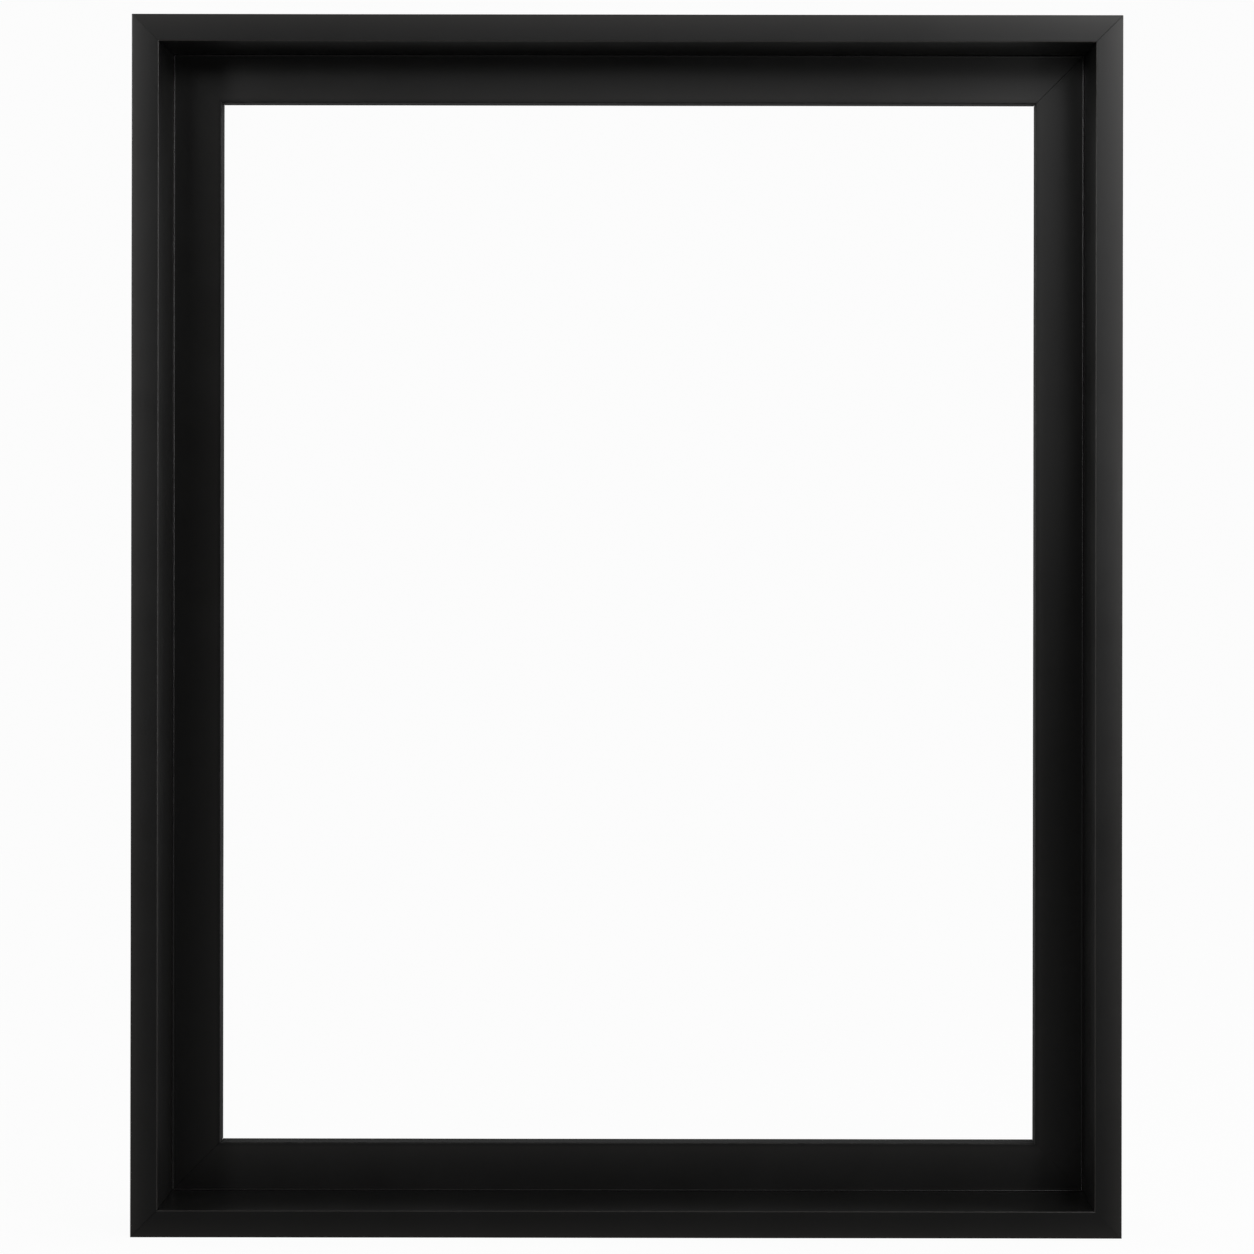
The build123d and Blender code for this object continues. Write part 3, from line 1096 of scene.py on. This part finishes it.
# ------------------------------------------------------------------------------------ the hangers
@dataclass
class Hanger:
    """A folded strap, its swinging ring and its screw, on the back of one side rail."""

    side: Side
    sheet: float = 0.0008
    strap_width: float = 0.0095
    strap_tail: float = 0.020
    leaf_gap: float = 0.00015
    wrap: float = 40.0
    knee: float = 0.0012
    tail_corner: float = 0.0025
    wire: float = 0.0022
    wire_clearance: float = 0.00006
    side_clearance: float = 0.00115
    ring_leg: float = 0.0024
    ring_corner: float = 0.0019
    rest_clearance: float = 0.00015
    butt: float = 0.0003
    wire_ease: float = 0.00015
    cut_ease: float = 0.00012
    hole: float = 0.0040
    drill_reach: tuple[float, float] = (-0.002, 0.004)
    screw_head: float = 0.0066
    screw_thread: float = 0.0035
    screw_core: float = 0.0024
    thread_pitch: float = 0.0014
    thread_sharpness: float = 5.0
    plain_shank: float = 0.0012
    screw_point: float = 0.004
    blunt: float = 0.02
    head_rim: float = 0.0007
    head_ease: float = 0.0001
    recess_span: float = 0.0036
    recess_width: float = 0.0010
    recess_depth: float = 0.0012
    leaf_steps: int = 16
    wrap_steps: int = 30
    knee_steps: int = 6
    tail_steps: int = 7
    edge_steps: int = 3
    bow_steps: int = 32
    shoulder_steps: int = 8
    wire_facets: int = 20
    hole_facets: int = 48
    turn_rows: int = 12
    screw_facets: int = 32
    dome_steps: int = 10
    crease: float = 38

    def axis_point(self) -> Vector:
        """The middle of the ring's axis, from the joint."""
        joint = next(joint for joint in frame["joints"] if joint["child"] == f"ring_{self.side.value}")
        return Vector(joint["pos_m"])

    @property
    def loop_radius(self) -> float:
        """From the ring's axis to the middle of the strap's sheet."""
        return self.wire / 2 + self.wire_clearance + self.sheet / 2

    @property
    def ring_half_width(self) -> float:
        """From the middle of the ring to the middle of its leg's wire."""
        return self.strap_width / 2 + self.side_clearance + self.wire / 2

    def strap_path(self) -> list[tuple[float, float, float]]:
        """The middle of the folded sheet, from one tail to the other.

        Returns:
            For each point, how far out it is, how far up from the axis, and how far above the tails.
        """
        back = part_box(f"rail_{self.side.value}")[1].y
        axis = self.axis_point()
        out, radius = axis.y - back, self.loop_radius
        front_leaf = 1.5 * self.sheet + self.leaf_gap
        leaf = self.leaf_steps
        path = [(self.sheet / 2, -self.strap_tail * (1 - step / leaf)) for step in range(leaf)]
        for step in range(self.wrap_steps + 1):
            angle = math.radians(180 - (180 + self.wrap) * step / self.wrap_steps)
            path.append((out + radius * math.cos(angle), radius * math.sin(angle)))
        leave = math.radians(self.wrap)
        last = path[-1]
        slope = (-math.sin(leave), -math.cos(leave))
        run = (last[0] - front_leaf) / math.sin(leave)
        knee = (front_leaf, last[1] + slope[1] * run)
        path += rounded([last, knee, (front_leaf, -self.strap_tail)], self.knee, self.knee_steps)[1:-1]
        start = path[-1][1]
        path += [(front_leaf, start + (-self.strap_tail - start) * step / leaf) for step in range(1, leaf + 1)]
        return [(x, y, y + self.strap_tail) for x, y in path]

    def build_strap(self) -> bpy.types.Object:
        """Makes the strap, with rounded tails, eased cut edges and its screw hole.

        Returns:
            The strap.
        """
        axis = self.axis_point()
        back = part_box(f"rail_{self.side.value}")[1].y
        path = self.tail_rows(self.strap_path())
        ease = self.cut_ease
        rings, edges = [], []
        for index, (x, y, tail) in enumerate(path):
            before, after = path[max(index - 1, 0)], path[min(index + 1, len(path) - 1)]
            along = Vector((after[0] - before[0], after[1] - before[1])).normalized()
            normal = Vector((0, -along.y, along.x))
            half = self.strap_width / 2
            if tail < self.tail_corner:
                half -= self.tail_corner - math.sqrt(self.tail_corner**2 - (self.tail_corner - tail) ** 2)
            middle = Vector((axis.x, back + x, axis.z + y))
            ring = []
            for corner, turn in ((1, 1), (-1, 1), (-1, -1), (1, -1)):
                for step in range(self.edge_steps + 1):
                    share = step / self.edge_steps if corner * turn > 0 else 1 - step / self.edge_steps
                    angle = math.radians(90 * share)
                    wide = half - ease + ease * math.cos(angle)
                    thick = self.sheet / 2 - ease + ease * math.sin(angle)
                    ring.append(middle + RIGHT * (corner * wide) + normal * (turn * thick))
                    edges.append(math.sin(math.pi * share))
            rings.append(ring)
        strap = piece_from(loft(rings), f"hanger_strap_{self.side.value}_steel")
        paint_points(strap.data, "edge", edges)
        screw_low, screw_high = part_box(f"hanger_screw_{self.side.value}")
        middle = (screw_low + screw_high) / 2
        start, end = self.drill_reach
        profile = [(0.0, start), (self.hole / 2, start), (self.hole / 2, end), (0.0, end)]
        drill = lathe(profile, Vector((middle.x, back, middle.z)), self.hole_facets, "drill")
        cut(strap, [drill])
        return strap

    def tail_rows(self, path: list[tuple[float, float, float]]) -> list[tuple[float, float, float]]:
        """Adds cross-sections near both tails so that their corners are round.

        Args:
            path: the strap's path.

        Returns:
            The path, with close rows at both tails.
        """
        steps, past = self.tail_steps, 1.02
        extra = [self.tail_corner * (1 - math.cos(math.radians(90 * step / steps))) for step in range(steps + 1)]
        spans = [row for row in path if row[2] > self.tail_corner * past or row[1] > -self.strap_tail / 2]
        first = [(path[0][0], -self.strap_tail + d, d) for d in extra]
        last = [(path[-1][0], -self.strap_tail + d, d) for d in reversed(extra)]
        return first + spans + last

    def ring_path(self) -> list[tuple[float, float]]:
        """The middle of the ring's wire in its own plane.

        Returns:
            For each point, how far across it is, and how far down from the axis.
        """
        half = self.ring_half_width
        corners = [(self.butt / 2, 0.0), (half, 0.0), (half, self.ring_leg)]
        shoulder = rounded(corners, self.ring_corner, self.shoulder_steps)
        bow = []
        for step in range(1, self.bow_steps):
            angle = math.radians(180 * step / self.bow_steps)
            bow.append((half * math.cos(angle), self.ring_leg + half * math.sin(angle)))
        return shoulder + bow + [(-x, y) for x, y in reversed(shoulder)]

    def build_ring(self) -> bpy.types.Object:
        """Makes the ring, folded down over the strap, with the wire's ends butted inside the loop.

        Returns:
            The ring.
        """
        axis = self.axis_point()
        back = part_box(f"rail_{self.side.value}")[1].y
        over = 2 * self.sheet + self.leaf_gap + self.rest_clearance + self.wire / 2
        reach = self.ring_leg + math.sqrt(self.ring_half_width**2 - (self.strap_width / 2) ** 2)
        fold = math.asin((over - (axis.y - back)) / reach)
        down = Vector((0, math.sin(fold), -math.cos(fold)))
        out = Vector((0, math.cos(fold), math.sin(fold)))
        path = self.ring_path()
        rings, radius, ease = [], self.wire / 2, self.wire_ease
        whole = [(index, radius) for index in range(len(path))]
        rows = [(0, radius - ease), *whole, (len(path) - 1, radius - ease)]
        for number, (index, size) in enumerate(rows):
            x, y = path[index]
            before, after = path[max(index - 1, 0)], path[min(index + 1, len(path) - 1)]
            along = Vector((after[0] - before[0], after[1] - before[1])).normalized()
            middle = axis + RIGHT * x + down * y
            if number == 1:
                middle += RIGHT * ease
            if number == len(rows) - 2:
                middle -= RIGHT * ease
            across = RIGHT * -along.y + down * along.x
            ring = []
            for step in range(self.wire_facets):
                angle = 2 * math.pi * step / self.wire_facets
                ring.append(middle + across * (size * math.cos(angle)) + out * (size * math.sin(angle)))
            rings.append(ring)
        return piece_from(loft(rings), f"hanger_ring_{self.side.value}_steel")

    def build_screw(self) -> bpy.types.Object:
        """Makes the pan-head screw, with its helical thread and cross recess.

        Returns:
            The screw.
        """
        low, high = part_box(f"hanger_screw_{self.side.value}")
        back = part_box(f"rail_{self.side.value}")[1].y
        seat = back + 2 * self.sheet + self.leaf_gap
        centre = Vector(((low.x + high.x) / 2, seat, (low.z + high.z) / 2))
        length, head_height = seat - low.y, high.y - seat
        rings = []
        plain, around = self.plain_shank, self.screw_facets
        core, full = self.screw_core / 2, (self.screw_thread - self.screw_core) / 2
        rows = int((length - plain) / self.thread_pitch * self.turn_rows)
        for row in range(rows + 1):
            height = -length + (length - plain) * row / rows
            taper = min(1.0, (height + length) / self.screw_point + self.blunt)
            run_out = min(1.0, (-plain - height) / self.thread_pitch)
            ring = []
            for step in range(around):
                turn = step / around
                phase = (height / self.thread_pitch - turn) % 1.0
                crest = max(0.0, 1.0 - abs(phase - 0.5) * self.thread_sharpness) * max(run_out, 0.0)
                ring.append(spoke(centre, (core + full * crest) * taper, turn, height))
            rings.append(ring)
        ease, rim = self.head_ease, self.screw_head / 2
        shoulder = [(core, -plain * 0.5), (core + ease, 0.0)]
        profile = [*shoulder, (rim - ease, 0.0), (rim, ease), (rim, self.head_rim)]
        dome, flat_top = head_height - self.head_rim, 0.6
        for step in range(1, self.dome_steps + 1):
            angle = math.radians(90 * step / (self.dome_steps + flat_top))
            profile.append((rim * math.cos(angle), self.head_rim + dome * math.sin(angle)))
        for radius, height in profile:
            rings.append([spoke(centre, radius, step / around, height) for step in range(around)])
        screw = piece_from(loft(rings), f"hanger_screw_{self.side.value}_steel")
        cut(screw, self.recess(centre + REARWARD * head_height))
        return screw

    def recess(self, top: Vector) -> list[bpy.types.Object]:
        """Makes the two tapered slots of a cross recess.

        Args:
            top: the top of the head.

        Returns:
            The two cutters.
        """
        depth, above = self.recess_depth, 0.0005
        # each level's height, and its share of the full length and of the full width
        levels = ((above, 1.12, 1.0), (0.0, 1.0, 1.0), (-depth * 0.8, 0.62, 0.8), (-depth, 0.3, 0.8))
        cutters = []
        for across, beside in ((RIGHT, UP), (UP, -RIGHT)):
            rings = []
            for height, long, narrow in levels:
                ring = []
                for a, b in ((1, 1), (-1, 1), (-1, -1), (1, -1)):
                    flat = across * (a * self.recess_span / 2 * long) + beside * (b * self.recess_width / 2 * narrow)
                    ring.append(top + flat + REARWARD * height)
                rings.append(ring)
            cutters.append(piece_from(loft(rings), "recess"))
        return cutters

    def build(self, dress: "Workshop") -> None:
        """Makes, finishes and hands over the hanger's three pieces.

        Args:
            dress: the workshop that finishes the pieces.
        """
        name = self.side.value
        strap, ring, screw = self.build_strap(), self.build_ring(), self.build_screw()
        for steel in (strap, ring, screw):
            smooth(steel, self.crease)
        dress.hand_over(strap, "zinc_plate", "frame", f"hanger_strap_{name}")
        dress.hand_over(ring, "zinc_plate", f"ring_{name}", f"hanger_ring_{name}")
        dress.hand_over(screw, "zinc_plate", "frame", f"hanger_screw_{name}")


# ------------------------------------------------------------------------------------ the bumpers
@dataclass
class Bumper:
    """A clear domed foot stuck to the back of the bottom rail."""

    side: Side
    adhesive: float = 0.00015
    inset: float = 0.00012
    round_radius: float = 0.0024
    round_steps: int = 10
    facets: int = 64
    crease: float = 40

    def build(self, dress: "Workshop") -> None:
        """Makes, finishes and hands over the bumper.

        Args:
            dress: the workshop that finishes the pieces.
        """
        node = f"bumper_{self.side.value}"
        low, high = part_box(node)
        centre = Vector(((low.x + high.x) / 2, low.y, (low.z + high.z) / 2))
        radius, height = (high.x - low.x) / 2, high.y - low.y
        soft, pad = self.round_radius, radius - self.inset
        profile = [(0.0, 0.0), (pad, 0.0), (pad, self.adhesive), (radius, self.adhesive)]
        for step in range(self.round_steps + 1):
            angle = math.radians(90 / self.round_steps * step)
            profile.append((radius - soft + soft * math.cos(angle), height - soft + soft * math.sin(angle)))
        profile.append((0.0, height))
        foot = lathe(profile, centre, self.facets, node + "_rubber")
        smooth(foot, self.crease)
        dress.hand_over(foot, "clear_rubber", "frame", node)


# ------------------------------------------------------------------------------------ the workshop
class Workshop:
    """Holds the finishes, and hands each finished piece over to its CAD body."""

    def __init__(self) -> None:
        """Mixes every finish once."""
        strip_steel = PlatedSteel("bright_strip", (0.50, 0.50, 0.51), (0.40, 0.40, 0.41), (0.3, 0.5))
        self.finishes = {
            "lacquer_upright": BlackLacquer(Grain.UPRIGHT).material(),
            "lacquer_level": BlackLacquer(Grain.LEVEL).material(),
            "zinc_plate": PlatedSteel().material(),
            "bright_strip": strip_steel.material(),
            "clear_rubber": ClearRubber().material(),
        }

    def hand_over(self, piece: bpy.types.Object, finish: str, body: str, node: str) -> None:
        """Dresses a piece and says what it stands for.

        Args:
            piece: the piece.
            finish: the finish's name.
            body: the CAD body that it rides on.
            node: the CAD node that it replaces.
        """
        piece.data.materials.clear()
        piece.data.materials.append(self.finishes[finish])
        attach(piece, body)
        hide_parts(node)
        log.info("%s: %d faces, %s, on %s", piece.name, len(piece.data.polygons), finish, body)


# ------------------------------------------------------------------------------------ the studio
@dataclass(frozen=True)
class Softbox:
    """A round soft light that hangs near the frame, which the camera doesn't see."""

    name: str
    place: tuple[float, float, float]
    power: float
    diameter: float = 0.4

    def hang(self, target: Vector) -> None:
        """Hangs the light.

        Args:
            target: the point that it faces.
        """
        light = bpy.data.lights.new(self.name, "AREA")
        light.shape, light.size, light.energy = "DISK", self.diameter, self.power
        lamp = bpy.data.objects.new(self.name, light)
        bpy.context.scene.collection.objects.link(lamp)
        lamp.location = self.place
        lamp.visible_camera = False
        lamp.rotation_euler = (Vector(self.place) - target).to_track_quat("Z", "Y").to_euler()


@dataclass
class Studio:
    """The pale floor, the white surroundings, the soft lights and the camera."""

    focal_mm: float = 85.0
    sensor_mm: float = 36.0
    frame_share: float = 0.9763
    camera_right: float = 0.02175
    camera_up: float = 0.0491
    camera_roll: float = -0.083
    image_right: float = 0.0001
    image_up: float = 0.0005
    floor_radius: float = 6.0
    floor_facets: int = 96
    floor_paint: float = 0.80
    floor_dim: float = 0.25
    floor_glow: float = 1.045
    floor_shade: float = 0.09
    floor_fade: tuple[float, float] = (0.3, 1.6)
    floor_rear: tuple[float, float] = (0.08, 0.5)
    surround: float = 0.60
    backdrop: float = 0.40
    beside: tuple[float, float] = (-0.35, 0.1)
    behind: tuple[float, float] = (0.4, 0.95)
    steep: tuple[float, float] = (0.4, 0.85)
    overhead: float = 0.12
    softboxes: tuple[Softbox, ...] = (
        Softbox("left_key", (-1.4, -1.8, 0.8), 6.7),
        Softbox("right_key", (1.2, -1.8, 0.3), 3.3),
        Softbox("right_side", (1.8, -0.35, 0.6), 2.0),
        Softbox("right_corner", (0.6, -0.6, 0.8), 1.5),
        Softbox("right_beside", (0.35, -0.5, 0.45), 0.19),
        Softbox("left_low", (-1.2, -1.8, 0.3), 0.6),
        Softbox("right_over", (0.5, -1.0, 0.92), 0.79),
        Softbox("middle_over", (0.0, -1.0, 0.8), 0.30),
        Softbox("left_high", (-0.7, -1.8, 1.0), 0.61),
        Softbox("right_high", (0.7, -1.8, 1.0), 0.80),
        Softbox("behind_right", (1.9, 0.8, 1.0), 4.5, 0.6),
        Softbox("behind_left", (-1.9, 0.9, 0.7), 3.0, 0.6),
    )

    def build(self) -> None:
        """Sets up everything round the frame."""
        low, high = CAD_BOX
        middle = (low + high) / 2
        self.floor()
        self.surroundings()
        for softbox in self.softboxes:
            softbox.hang(middle)
        self.camera()
        bpy.context.scene.view_settings.view_transform = "Standard"
        bpy.context.scene.view_settings.look = "None"

    def camera(self) -> None:
        """Stands a camera square to the frame but for a hair of roll, with its lens shifted to centre the frame."""
        low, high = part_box("rail_left")[0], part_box("rail_right")[1]
        height = high.z - low.z
        data = bpy.data.cameras.new("camera")
        data.lens, data.sensor_width = self.focal_mm, self.sensor_mm
        distance = height * self.focal_mm / self.sensor_mm / self.frame_share
        size = height / self.frame_share
        data.shift_x = -self.camera_right / size + self.image_right
        data.shift_y = -self.camera_up / size - self.image_up
        camera = bpy.data.objects.new("camera", data)
        bpy.context.scene.collection.objects.link(camera)
        camera.location = (
            (low.x + high.x) / 2 + self.camera_right,
            low.y - distance,
            (low.z + high.z) / 2 + self.camera_up,
        )
        camera.rotation_euler = (math.radians(90), math.radians(self.camera_roll), 0)
        bpy.context.scene.camera = camera

    def floor(self) -> None:
        """Lays the pale floor, which fades into the white round about."""
        shell = bmesh.new()
        bmesh.ops.create_circle(shell, cap_ends=True, segments=self.floor_facets, radius=self.floor_radius)
        floor = piece_from(shell, "studio_floor")
        floor.location.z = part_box("rail_bottom")[0].z
        material = bpy.data.materials.new("pale_floor")
        material.use_nodes = True
        sheet = Tree(material.node_tree)
        sheet.tree.nodes.clear()
        point = sheet.add("ShaderNodeTexCoord").outputs["Object"]
        away = sheet.add("ShaderNodeVectorMath", {0: point}, operation="LENGTH").outputs["Value"]
        paint = sheet.add("ShaderNodeBsdfDiffuse", {"Color": (*[self.floor_paint] * 3, 1)}).outputs[0]
        white = sheet.between(away, *self.floor_fade, self.floor_glow, WHITE_LEVEL)
        glow = sheet.add("ShaderNodeEmission", {"Color": WHITE, "Strength": white}).outputs[0]
        near = sheet.between(away, *self.floor_fade, self.floor_shade, 0.0)
        seen = sheet.add("ShaderNodeMixShader", {0: near, 1: glow, 2: paint}).outputs[0]
        dim = sheet.add("ShaderNodeBsdfDiffuse", {"Color": (*[self.floor_dim] * 3, 1)}).outputs[0]
        lit = sheet.add("ShaderNodeEmission", {"Color": WHITE, "Strength": self.backdrop}).outputs[0]
        rear = sheet.between(sheet.add("ShaderNodeSeparateXYZ", {0: point}).outputs["Y"], *self.floor_rear)
        bounced = sheet.add("ShaderNodeMixShader", {0: rear, 1: dim, 2: lit}).outputs[0]
        ray = sheet.add("ShaderNodeLightPath").outputs["Is Camera Ray"]
        surface = sheet.add("ShaderNodeMixShader", {0: ray, 1: bounced, 2: seen}).outputs[0]
        sheet.add("ShaderNodeOutputMaterial", {"Surface": surface})
        floor.data.materials.append(material)

    def surroundings(self) -> None:
        """A white surround behind the frame and a dim room in front of it."""
        world = bpy.data.worlds.new("studio")
        bpy.context.scene.world = world
        world.use_nodes = True
        sheet = Tree(world.node_tree)
        sheet.tree.nodes.clear()
        way = sheet.add("ShaderNodeTexCoord").outputs["Generated"]
        part = sheet.add("ShaderNodeSeparateXYZ", {0: way})
        beside = sheet.between(part.outputs["Y"], *self.beside, 0.0, self.surround)
        behind = sheet.between(part.outputs["Y"], *self.behind, 0.0, self.surround - self.backdrop)
        steep = sheet.between(sheet.math("ABSOLUTE", part.outputs["Z"]), *self.steep, 1.0, self.overhead)
        level = sheet.math("MULTIPLY", sheet.math("SUBTRACT", beside, behind), steep)
        room = sheet.add("ShaderNodeBackground", {"Strength": level}).outputs[0]
        white = sheet.add("ShaderNodeBackground", {"Strength": WHITE_LEVEL}).outputs[0]
        for background in (room, white):
            background.node.inputs["Color"].default_value = WHITE
        ray = sheet.add("ShaderNodeLightPath").outputs["Is Camera Ray"]
        surface = sheet.add("ShaderNodeMixShader", {0: ray, 1: room, 2: white}).outputs[0]
        sheet.add("ShaderNodeOutputWorld", {"Surface": surface})


def main() -> None:
    """Builds the frame piece by piece, then the studio."""
    logging.basicConfig(level=logging.INFO, format="%(name)s: %(message)s")
    workshop = Workshop()
    Carcase().build(workshop)
    for side in Side:
        Hanger(side).build(workshop)
        Bumper(side).build(workshop)
    Studio().build()


if __name__ == "__main__":
    main()
